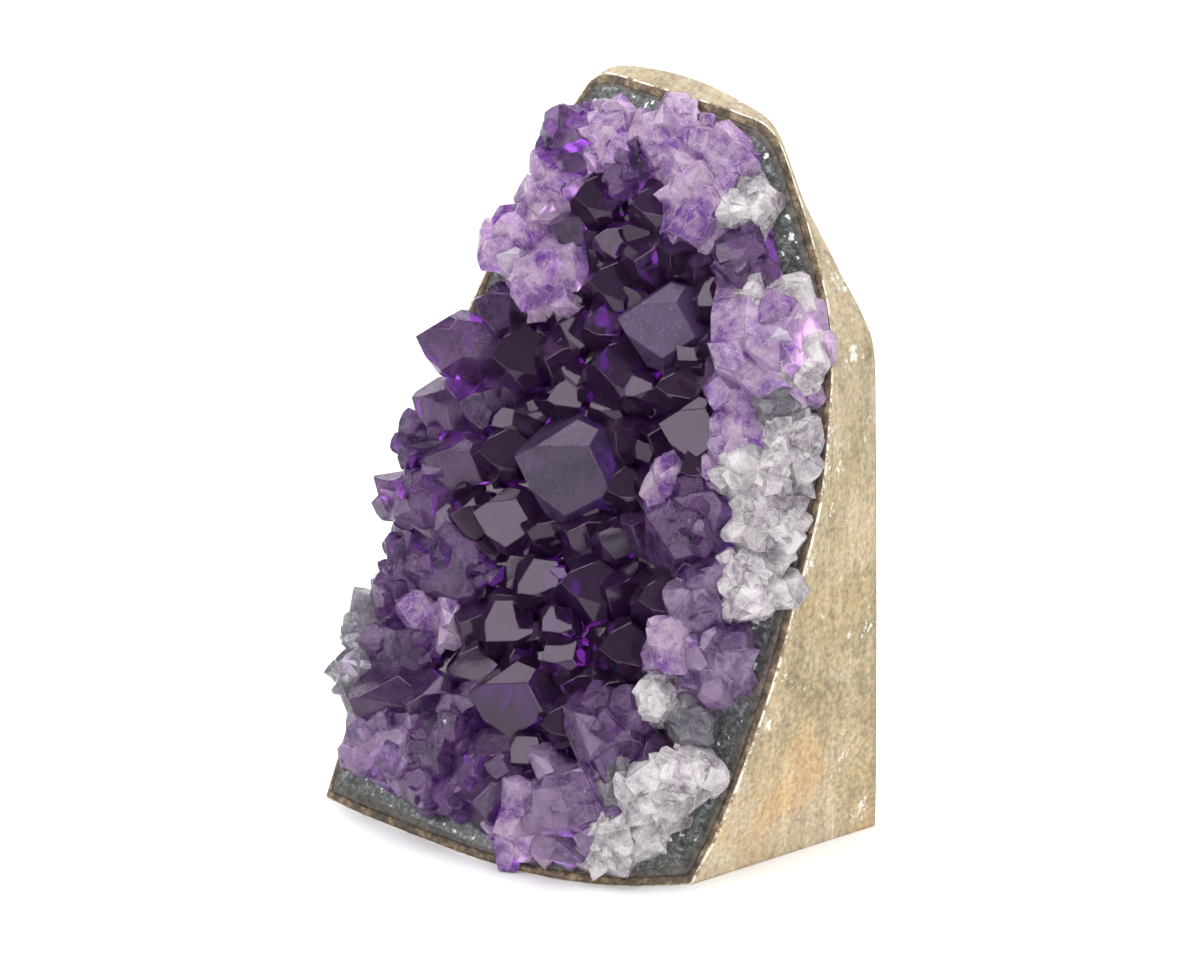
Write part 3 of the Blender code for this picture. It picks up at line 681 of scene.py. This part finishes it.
def cluster(u, v, width, rise, lean_u, lean_v, kind, rng):
    """Rough knob of quartz: a broken core with small points and splinters grown over it."""
    count, low, high, share = CLUSTERS[kind]
    axis = (FACE_OUT + FACE_X * lean_u + FACE_UP * lean_v).normalized()
    side = axis.cross(FACE_UP).normalized()
    up = side.cross(axis)
    place = face_point(u * MM, v * MM, CENTRE_HEIGHT)
    tip = rise * MM - CENTRE_HEIGHT
    core = broken_chunk(
        CORE_WIDTH * width * MM, CORE_RISE * tip, CRYSTAL_ROOT, CORE_BREAKS, LARGE_WEAR, rng
    )
    matrix = crystal_matrix(place, axis, rng.uniform(0.0, 2.0 * pi))
    parts = [finish_part(core, matrix, kind, rng.uniform(*CORE_TONE))]
    for _ in range(count):
        turn = rng.uniform(0.0, 2.0 * pi)
        away = DOME_RADIUS * width * MM * rng.random() ** DOME_CROWDING
        dome = tip * (1.0 - DOME_DROP * (away / (DOME_EDGE * width * MM)) ** 2)
        across = side * cos(turn) + up * sin(turn)
        size = rng.uniform(low, high) * MM
        spot = place + across * away + axis * (dome - PIECE_SINK * size)
        fan = axis + across * (FAN * away / (0.5 * width * MM))
        fan += Vector((rng.uniform(-FAN_PLAY, FAN_PLAY) for _ in range(3)))
        root = PIECE_ROOT * size
        if rng.random() < share:
            bit = quartz_point(size, POINT_RISE * size, root, SMALL_WEAR, rng)
        else:
            bit = broken_chunk(size, CHUNK_RISE * size, root, PIECE_BREAKS, SMALL_WEAR, rng)
        matrix = crystal_matrix(spot, fan, rng.uniform(0.0, 2.0 * pi))
        parts.append(finish_part(bit, matrix, kind, rng.random()))
    return parts


def hero_parts(rng):
    """The large crystals and knobs of the table."""
    parts = []
    for u, v, width, rise, lean_u, lean_v, turn, kind in CRYSTALS:
        if kind in CLUSTERS:
            parts += cluster(u, v, width, rise, lean_u, lean_v, kind, rng)
            continue
        axis = FACE_OUT + FACE_X * lean_u + FACE_UP * lean_v
        place = face_point(u * MM, v * MM, CENTRE_HEIGHT)
        tip = rise * MM - CENTRE_HEIGHT
        part = quartz_point(width * MM, tip, CRYSTAL_ROOT, LARGE_WEAR, rng)
        matrix = crystal_matrix(place, axis, radians(turn))
        parts.append(finish_part(part, matrix, kind, rng.random()))
    return parts


def nearest_kind(u, v):
    """Kind of the nearest large crystal; a wide one reaches farther."""
    rows = [row for row in CRYSTALS if row[7] not in SINGLE_KINDS]
    best = min(rows, key=lambda row: ((row[0] - u) ** 2 + (row[1] - v) ** 2) / row[2])
    return best[7]


def inside_crust(u, v):
    """True where a face point is inside the outline of the crust."""
    inside = False
    count = len(OUTLINE)
    for i in range(count):
        (x0, y0), (x1, y1) = OUTLINE[i], OUTLINE[(i + 1) % count]
        if (y0 > v) != (y1 > v) and u < (x1 - x0) * (v - y0) / (y1 - y0) + x0:
            inside = not inside
    return inside


OUTLINE = [to_face(p)[:2] for p in inset_ring(crust_inset, lambda i: 0.0)]


def scattered_parts(count, kinds, widths, rise_share, spacing, bevel, rng):
    """Small crystals of the kinds around them, strewn over the crust."""
    parts = []
    places = []
    tries = 0
    while len(places) < count and tries < count * TRIES_EACH:
        tries += 1
        u = rng.uniform(*FIELD_ACROSS)
        v = rng.uniform(*FIELD_UP)
        kind = nearest_kind(u, v)
        if kind not in kinds or not inside_crust(u * MM, v * MM):
            continue
        width = rng.uniform(*widths)
        near = (spacing * width) ** 2
        if any((u - a) ** 2 + (v - b) ** 2 < near for a, b in places):
            continue
        places.append((u, v))
        lean_u = rng.uniform(-SMALL_LEAN, SMALL_LEAN)
        lean_v = rng.uniform(-SMALL_LEAN, SMALL_LEAN)
        axis = FACE_OUT + FACE_X * lean_u + FACE_UP * lean_v
        place = face_point(u * MM, v * MM, SMALL_RISE)
        tip = rise_share * width * rng.uniform(*RISE_PLAY) * MM
        if kind in CLUSTERS and rng.random() < CHUNK_SHARE:
            part = broken_chunk(width * MM, tip, SMALL_ROOT, PIECE_BREAKS, bevel, rng)
        else:
            part = quartz_point(width * MM, tip, SMALL_ROOT, bevel, rng)
        matrix = crystal_matrix(place, axis, rng.uniform(0.0, 2.0 * pi))
        parts.append(finish_part(part, matrix, kind, rng.random()))
    return parts


def part_box(part):
    lo = Vector((min(v.co[k] for v in part.verts) for k in range(3)))
    hi = Vector((max(v.co[k] for v in part.verts) for k in range(3)))
    return lo, hi


def apart(a, b):
    return any(a[0][k] > b[1][k] or b[0][k] > a[1][k] for k in range(3))


def grouped(parts):
    """Sorts the parts into groups whose members don't touch each other."""
    groups = []
    for part in parts:
        box = part_box(part)
        for boxes, members in groups:
            if all(apart(box, other) for other in boxes):
                boxes.append(box)
                members.append(part)
                break
        else:
            groups.append(([box], [part]))
    out = []
    for _, members in groups:
        bm = bmesh.new()
        bm.faces.layers.float.new("tone")
        for part in members:
            mesh = bpy.data.meshes.new("part")
            part.to_mesh(mesh)
            part.free()
            bm.from_mesh(mesh)
            bpy.data.meshes.remove(mesh)
        out.append(bm)
    return out


def fill_pockets(mesh):
    """Takes out the small closed shells inside the crust."""
    bm = bmesh.new()
    bm.from_mesh(mesh)
    left = set(bm.faces)
    while left:
        island = [left.pop()]
        for face in island:
            for edge in face.edges:
                for other in edge.link_faces:
                    if other in left:
                        left.remove(other)
                        island.append(other)
        if len(island) < POCKET_FACES:
            bmesh.ops.delete(bm, geom=island, context="FACES")
    bm.to_mesh(mesh)
    bm.free()


def quartz_skin():
    """Closed quartz body that the crystals stand in, with the kind of the nearest crystal."""
    centre_u, centre_v = to_face(FACE_CENTRE)[:2]
    rings = [
        share_ring(SKIN_CORE_SHARE, lambda q: crust_floor(q) - SKIN_SINK),
        share_ring(INNER_SHARE, lambda q: crust_floor(q) - SKIN_SINK),
        share_ring(OUTER_SHARE, lambda q: crust_floor(q) - SKIN_SINK),
        inset_ring(crust_inset, lambda i: SKIN_EDGE[0]),
        inset_ring(crust_inset, lambda i: SKIN_EDGE[1]),
    ]
    edge = [to_face(p)[:2] for p in rings[-1]]
    for share in SKIN_SHARES:
        rings.append([
            face_point(u + (centre_u - u) * share, v + (centre_v - v) * share, SKIN_RISE)
            for u, v in edge
        ])
    skin = loft(
        rings,
        FACE_CENTRE + FACE_OUT * (crust_floor(FACE_CENTRE) - SKIN_SINK),
        face_point(centre_u, centre_v, SKIN_RISE),
    )
    for face in skin.faces:
        u, v, _ = to_face(face.calc_center_median())
        face.smooth = False
        face.material_index = KINDS.index(nearest_kind(u / MM, v / MM))
    skin.faces.layers.float.new("tone")
    return skin


def make_crust(mats):
    """Grows the skin and all crystals into one solid and fits it to its bed."""
    rng = random.Random(SEED)
    parts = hero_parts(rng)
    parts += scattered_parts(
        SATELLITES, KINDS, SATELLITE_WIDTH, SATELLITE_RISE, SATELLITE_SPACING, MIDDLE_WEAR, rng
    )
    parts += scattered_parts(
        DRUSE, tuple(CLUSTERS), DRUSE_WIDTH, DRUSE_RISE, DRUSE_SPACING, 0.0, rng
    )
    crust = make_object("amethyst", quartz_skin(), mats)
    group_col = bpy.data.collections.new("growth")
    bpy.context.scene.collection.children.link(group_col)
    for k, bm in enumerate(grouped(parts)):
        obj = make_object(f"growth_{k}", bm, mats)
        bpy.context.scene.collection.objects.unlink(obj)
        group_col.objects.link(obj)
    union = crust.modifiers.new("union", "BOOLEAN")
    union.operation = "UNION"
    union.solver = "MANIFOLD"
    union.operand_type = "COLLECTION"
    union.collection = group_col
    cut_rings = [
        inset_ring(lambda i: -CUTTER_MARGIN, lambda i: -CUTTER_REACH),
        inset_ring(lambda i: -CUTTER_MARGIN, lambda i: GAP),
        inset_ring(lambda i: RIND_RIM_WIDTH, lambda i: GAP),
        inset_ring(lambda i: RIND_RIM_WIDTH + BAND_WIDTH[i], lambda i: BAND_EDGE[i] + GAP),
        share_ring(OUTER_SHARE, crust_floor),
        share_ring(INNER_SHARE, crust_floor),
    ]
    bed = make_object("bed", loft(
        cut_rings,
        FACE_CENTRE - FACE_OUT * CUTTER_REACH,
        FACE_CENTRE + FACE_OUT * crust_floor(FACE_CENTRE),
    ), [])
    base_bm = bmesh.new()
    bmesh.ops.create_cube(base_bm, size=CUTTER_CUBE)
    drop = BASE_CLEARANCE - 0.5 * CUTTER_CUBE
    bmesh.ops.translate(base_bm, vec=(0.0, 0.0, drop), verts=base_bm.verts[:])
    base = make_object("base", base_bm, [])
    for cutter in (bed, base):
        trim = crust.modifiers.new("trim", "BOOLEAN")
        trim.operation = "DIFFERENCE"
        trim.solver = "MANIFOLD"
        trim.object = cutter
    graph = bpy.context.evaluated_depsgraph_get()
    mesh = bpy.data.meshes.new_from_object(crust.evaluated_get(graph))
    crust.modifiers.clear()
    fill_pockets(mesh)
    crust.data = mesh
    for obj in list(group_col.objects) + [bed, base]:
        bpy.data.objects.remove(obj, do_unlink=True)
    bpy.data.collections.remove(group_col)
    return crust


# Rind and band

def relief(point, waves):
    """Sum of noises in mm; a wave is its frequency and its height."""
    return sum(noise.noise(point * pitch) * height for pitch, height in waves)


def side_ring(depth):
    """Ring on the ground side of the rind; depth 0 is the back plane, 1 the front edge."""
    ring = []
    for i, (p, q) in enumerate(zip(FRONT, BACK)):
        point = q.lerp(p, depth)
        if ON_BASE[i]:
            ring.append(point)
            continue
        along = FRONT[(i + 1) % len(FRONT)] - FRONT[i - 1]
        out = along.cross(p - q).normalized()
        rough = relief(point, SIDE_RELIEF)
        rough += relief(Vector((point.x, point.y, point.z * SAW_STRETCH)), SAW_RELIEF)
        lift = min(1.0, point.z / RELIEF_FADE)
        ring.append(point + out * (rough * MM * lift))
    return ring


def make_rind(mats):
    """Host rock: ground side, cream strip along the front edge, brown rim and recess."""
    rings = [list(BACK)]
    rings += [side_ring(k / SIDE_LEVELS) for k in range(1, SIDE_LEVELS)]
    rings += [
        side_ring(SIDE_LAST),
        inset_ring(lambda i: CREAM_INSET, lambda i: CREAM_DROP),
        inset_ring(lambda i: BROWN_INSET, lambda i: 0.0),
        inset_ring(lambda i: RIND_RIM_WIDTH, lambda i: 0.0),
        inset_ring(shoulder_inset, shoulder_height),
        share_ring(OUTER_SHARE, recess_floor),
        share_ring(INNER_SHARE, recess_floor),
    ]
    slots = [STONE_SLOT] * SIDE_LEVELS + [CREAM_SLOT] + [BROWN_SLOT] * 5
    bm = loft(rings, None, FACE_CENTRE + FACE_OUT * recess_floor(FACE_CENTRE), slots)
    return make_object("rind", bm, mats)


def make_band(mats):
    """Agate that lines the recess, with the quartz bed inside its polished edge."""
    rings = [
        share_ring(INNER_SHARE, band_floor),
        share_ring(OUTER_SHARE, band_floor),
        inset_ring(lambda i: shoulder_inset(i) + GAP, lambda i: shoulder_height(i) + GAP),
        inset_ring(lambda i: RIND_RIM_WIDTH + BAND_INSET, lambda i: BAND_DROP),
    ]
    slots = [AGATE_SLOT] * 3
    for k in range(1, BAND_LEVELS + 1):
        share = k / BAND_LEVELS
        ring = inset_ring(
            lambda i: RIND_RIM_WIDTH + BAND_INSET + BAND_WIDTH[i] * share,
            lambda i: BAND_EDGE[i] * share,
        )
        rings.append([
            p + FACE_OUT * relief(p, BAND_RELIEF) * MM if p.z > BAND_FOOT else p for p in ring
        ])
        slots.append(AGATE_EDGE_SLOT if k <= BAND_DARK_LEVELS else AGATE_SLOT)
    rings.append(share_ring(OUTER_SHARE, band_top))
    rings.append(share_ring(INNER_SHARE, band_top))
    slots += [BED_SLOT] * 2
    bm = loft(
        rings,
        FACE_CENTRE + FACE_OUT * band_floor(FACE_CENTRE),
        FACE_CENTRE + FACE_OUT * band_top(FACE_CENTRE),
        slots,
    )
    for face in bm.faces:
        if len(face.verts) == 3:
            face.material_index = BED_SLOT
    return make_object("agate", bm, mats)


# Materials

def new_material(name):
    mat = bpy.data.materials.new(name)
    mat.use_nodes = True
    return mat, mat.node_tree, mat.node_tree.nodes["Principled BSDF"]


def texture(tree, kind, scale, stretch=None):
    coord = tree.nodes.new("ShaderNodeTexCoord")
    tex = tree.nodes.new(kind)
    vector = coord.outputs["Object"]
    if stretch:
        mapping = tree.nodes.new("ShaderNodeMapping")
        mapping.inputs["Scale"].default_value = stretch
        tree.links.new(vector, mapping.inputs["Vector"])
        vector = mapping.outputs["Vector"]
    tree.links.new(vector, tex.inputs["Vector"])
    tex.inputs["Scale"].default_value = scale
    return tex


def noise_value(tree, scale, detail, roughness, stretch=None):
    tex = texture(tree, "ShaderNodeTexNoise", scale, stretch)
    tex.inputs["Detail"].default_value = detail
    tex.inputs["Roughness"].default_value = roughness
    return tex.outputs["Fac"]


def ramp(tree, fac, stops):
    node = tree.nodes.new("ShaderNodeValToRGB")
    elements = node.color_ramp.elements
    while len(elements) < len(stops):
        elements.new(0.5)
    for element, (place, colour) in zip(elements, stops):
        element.position = place
        element.color = (*colour, 1.0)
    tree.links.new(fac, node.inputs["Fac"])
    return node.outputs["Color"]


def grey_ramp(tree, fac, steps):
    return ramp(tree, fac, [(place, (level, level, level)) for place, level in steps])


def mix_colour(tree, fac, a, b, mode="MIX"):
    node = tree.nodes.new("ShaderNodeMix")
    node.data_type = "RGBA"
    node.blend_type = mode
    for value, socket in ((fac, node.inputs[0]), (a, node.inputs[6]), (b, node.inputs[7])):
        if isinstance(value, bpy.types.NodeSocket):
            tree.links.new(value, socket)
        elif isinstance(value, tuple):
            socket.default_value = (*value, 1.0)
        else:
            socket.default_value = value
    return node.outputs[2]


def math_node(tree, operation, a, b, clamp=False):
    node = tree.nodes.new("ShaderNodeMath")
    node.operation = operation
    node.use_clamp = clamp
    for value, socket in ((a, node.inputs[0]), (b, node.inputs[1])):
        if isinstance(value, bpy.types.NodeSocket):
            tree.links.new(value, socket)
        else:
            socket.default_value = value
    return node.outputs[0]


def map_range(tree, value, source, target):
    node = tree.nodes.new("ShaderNodeMapRange")
    node.inputs["From Min"].default_value = source[0]
    node.inputs["From Max"].default_value = source[1]
    node.inputs["To Min"].default_value = target[0]
    node.inputs["To Max"].default_value = target[1]
    tree.links.new(value, node.inputs["Value"])
    return node.outputs["Result"]


def bump(tree, height, strength, distance, normal=None):
    node = tree.nodes.new("ShaderNodeBump")
    node.inputs["Strength"].default_value = strength
    node.inputs["Distance"].default_value = distance
    tree.links.new(height, node.inputs["Height"])
    if normal:
        tree.links.new(normal, node.inputs["Normal"])
    return node.outputs["Normal"]


def crystal_material(finish):
    """Clear to milky quartz: see-through by plain transmission, IOR and absorption."""
    name, dark, light, rough, transmission, absorb, density, reliefs, cloud, glints_and_dust = finish
    growth_relief, pit_relief = reliefs
    mat, tree, shader = new_material(name)
    shader.inputs["IOR"].default_value = QUARTZ_IOR
    shader.inputs["Transmission Weight"].default_value = transmission
    shader.inputs["Specular Tint"].default_value = (*GLINT_TINT, 1.0)
    # The tone attribute holds each crystal's own tone plus the painted facet reflections and the
    # painted edge highlights
    tone = tree.nodes.new("ShaderNodeAttribute")
    tone.attribute_name = "tone"
    blend = math_node(tree, "ADD", noise_value(tree, *CLOUD_NOISE), CLOUD_LEVEL)
    blend = math_node(tree, "MULTIPLY", blend, cloud)
    shift = math_node(tree, "MULTIPLY", tone.outputs["Fac"], TONE_SHARE)
    blend = math_node(tree, "ADD", blend, shift, True)
    colour = mix_colour(tree, blend, dark, light)
    pits = noise_value(tree, *PIT_NOISE)
    # Pale flecks: partly painted glints, partly dust and fine scratches
    if glints_and_dust > 0.0:
        spots = grey_ramp(tree, pits, zip(GLINT_AND_DUST_PLACES, (0.0, glints_and_dust)))
        colour = mix_colour(tree, spots, colour, GLINT_AND_DUST_COLOUR)
    tree.links.new(colour, shader.inputs["Base Color"])
    gloss = grey_ramp(tree, pits, zip(PIT_GLOSS_PLACES, rough))
    tree.links.new(gloss, shader.inputs["Roughness"])
    growth = texture(tree, "ShaderNodeTexVoronoi", GROWTH_SCALE)
    normal = bump(tree, noise_value(tree, *SWAY_NOISE), SWAY_STRENGTH, SWAY_DEPTH)
    normal = bump(tree, growth.outputs["Distance"], growth_relief, GROWTH_DEPTH, normal)
    normal = bump(tree, pits, pit_relief, PIT_DEPTH, normal)
    tree.links.new(normal, shader.inputs["Normal"])
    volume = tree.nodes.new("ShaderNodeVolumeAbsorption")
    volume.inputs["Color"].default_value = (*absorb, 1.0)
    volume.inputs["Density"].default_value = density
    out = tree.nodes["Material Output"]
    tree.links.new(volume.outputs["Volume"], out.inputs["Volume"])
    return mat


def ground_stone():
    """Ground basalt: grain, upright grinding streaks, stains, scratches and chips."""
    mat, tree, shader = new_material("ground_basalt")
    noises = {key: noise_value(tree, *values) for key, values in STONE_NOISES.items()}
    steps = {key: grey_ramp(tree, noises[key], values) for key, values in STONE_STEPS.items()}
    coord = tree.nodes.new("ShaderNodeTexCoord")
    split = tree.nodes.new("ShaderNodeSeparateXYZ")
    tree.links.new(coord.outputs["Object"], split.inputs["Vector"])
    low = map_range(tree, split.outputs["Z"], WARM_HEIGHTS, (0.0, 1.0))
    high = map_range(tree, split.outputs["Z"], SHADE_HEIGHTS, SHADE_LEVELS)
    warm = mix_colour(tree, 1.0, steps["tints"], low, "MULTIPLY")
    colour = ramp(tree, noises["broad"], BASALT_TONES)
    colour = mix_colour(tree, warm, colour, WARM_STAIN)
    colour = mix_colour(tree, STREAK_SHARE, colour, steps["streaks"], "OVERLAY")
    colour = mix_colour(tree, GRAIN_SHARE, colour, steps["grain"], "OVERLAY")
    colour = mix_colour(tree, steps["rust"], colour, RUST_STAIN)
    colour = mix_colour(tree, steps["scratches"], colour, SCRATCH_COLOUR)
    colour = mix_colour(tree, steps["chips"], colour, CHIP_COLOUR)
    colour = mix_colour(tree, 1.0, colour, high, "MULTIPLY")
    tree.links.new(colour, shader.inputs["Base Color"])
    gloss = grey_ramp(tree, noises["grain"], STONE_GLOSS)
    tree.links.new(gloss, shader.inputs["Roughness"])
    normal = bump(tree, noises["streaks"], STREAK_STRENGTH, STREAK_DEPTH)
    normal = bump(tree, noises["grain"], GRAIN_STRENGTH, GRAIN_DEPTH, normal)
    tree.links.new(normal, shader.inputs["Normal"])
    return mat


def speckled(name, stops, scale, rough, strength, crumbs, patches):
    """Fine-grained stone; crumbs are pale grains, patches a broad change of shade."""
    mat, tree, shader = new_material(name)
    speckle = noise_value(tree, scale, SPECKLE_DETAIL, SPECKLE_ROUGHNESS)
    colour = ramp(tree, speckle, stops)
    if patches > 0.0:
        shade = grey_ramp(tree, noise_value(tree, *PATCH_NOISE), PATCH_STEPS)
        colour = mix_colour(tree, patches, colour, shade, "OVERLAY")
    if crumbs > 0.0:
        crumb = noise_value(tree, *CRUMB_NOISE)
        spots = grey_ramp(tree, crumb, zip(CRUMB_PLACES, (0.0, crumbs)))
        colour = mix_colour(tree, spots, colour, CRUMB_COLOUR)
    tree.links.new(colour, shader.inputs["Base Color"])
    gloss = grey_ramp(tree, speckle, zip(SPECKLE_GLOSS_PLACES, rough))
    tree.links.new(gloss, shader.inputs["Roughness"])
    normal = bump(tree, speckle, strength, SPECKLE_DEPTH)
    tree.links.new(normal, shader.inputs["Normal"])
    return mat


# Setting

def soft_box(name, place, aim, width, height, power):
    data = bpy.data.lights.new(name, "AREA")
    data.shape = "RECTANGLE"
    data.size = width
    data.size_y = height
    data.energy = power
    obj = bpy.data.objects.new(name, data)
    obj.location = place
    obj.rotation_euler = (Vector(aim) - Vector(place)).to_track_quat("-Z", "Y").to_euler()
    bpy.context.scene.collection.objects.link(obj)


def make_setting():
    bm = bmesh.new()
    bmesh.ops.create_grid(bm, x_segments=1, y_segments=1, size=FLOOR_SIZE)
    floor_mat, _, shader = new_material("studio_floor")
    shader.inputs["Base Color"].default_value = (FLOOR_GREY, FLOOR_GREY, FLOOR_GREY, 1.0)
    shader.inputs["Roughness"].default_value = FLOOR_ROUGHNESS
    floor = make_object("floor", bm, [floor_mat])
    floor.location = (0.0, 0.0, FLOOR_DROP)
    world = bpy.data.worlds.new("studio")
    bpy.context.scene.world = world
    world.use_nodes = True
    back = world.node_tree.nodes["Background"]
    back.inputs["Color"].default_value = (1.0, 1.0, 1.0, 1.0)
    back.inputs["Strength"].default_value = WORLD_STRENGTH
    for box in SOFT_BOXES:
        soft_box(*box)
    data = bpy.data.cameras.new("camera")
    data.lens = CAMERA_LENS
    data.sensor_width = CAMERA_SENSOR
    camera = bpy.data.objects.new("camera", data)
    camera.location = CAMERA_EYE
    camera.rotation_euler = (CAMERA_TARGET - CAMERA_EYE).to_track_quat("-Z", "Y").to_euler()
    bpy.context.scene.collection.objects.link(camera)
    bpy.context.scene.camera = camera
    bpy.context.scene.view_settings.view_transform = "Standard"


def main():
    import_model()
    rims = [speckled(name, *finish) for name, finish in RIM_FINISHES.items()]
    rind = make_rind([ground_stone()] + rims)
    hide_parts("basalt_rind")
    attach(rind, "root")
    band = make_band([speckled(name, *finish) for name, finish in AGATE_FINISHES.items()])
    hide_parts("agate_band")
    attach(band, "root")
    crust = make_crust([crystal_material(finish) for finish in FINISHES.values()])
    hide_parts("amethyst_crust")
    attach(crust, "root")
    make_setting()


main()
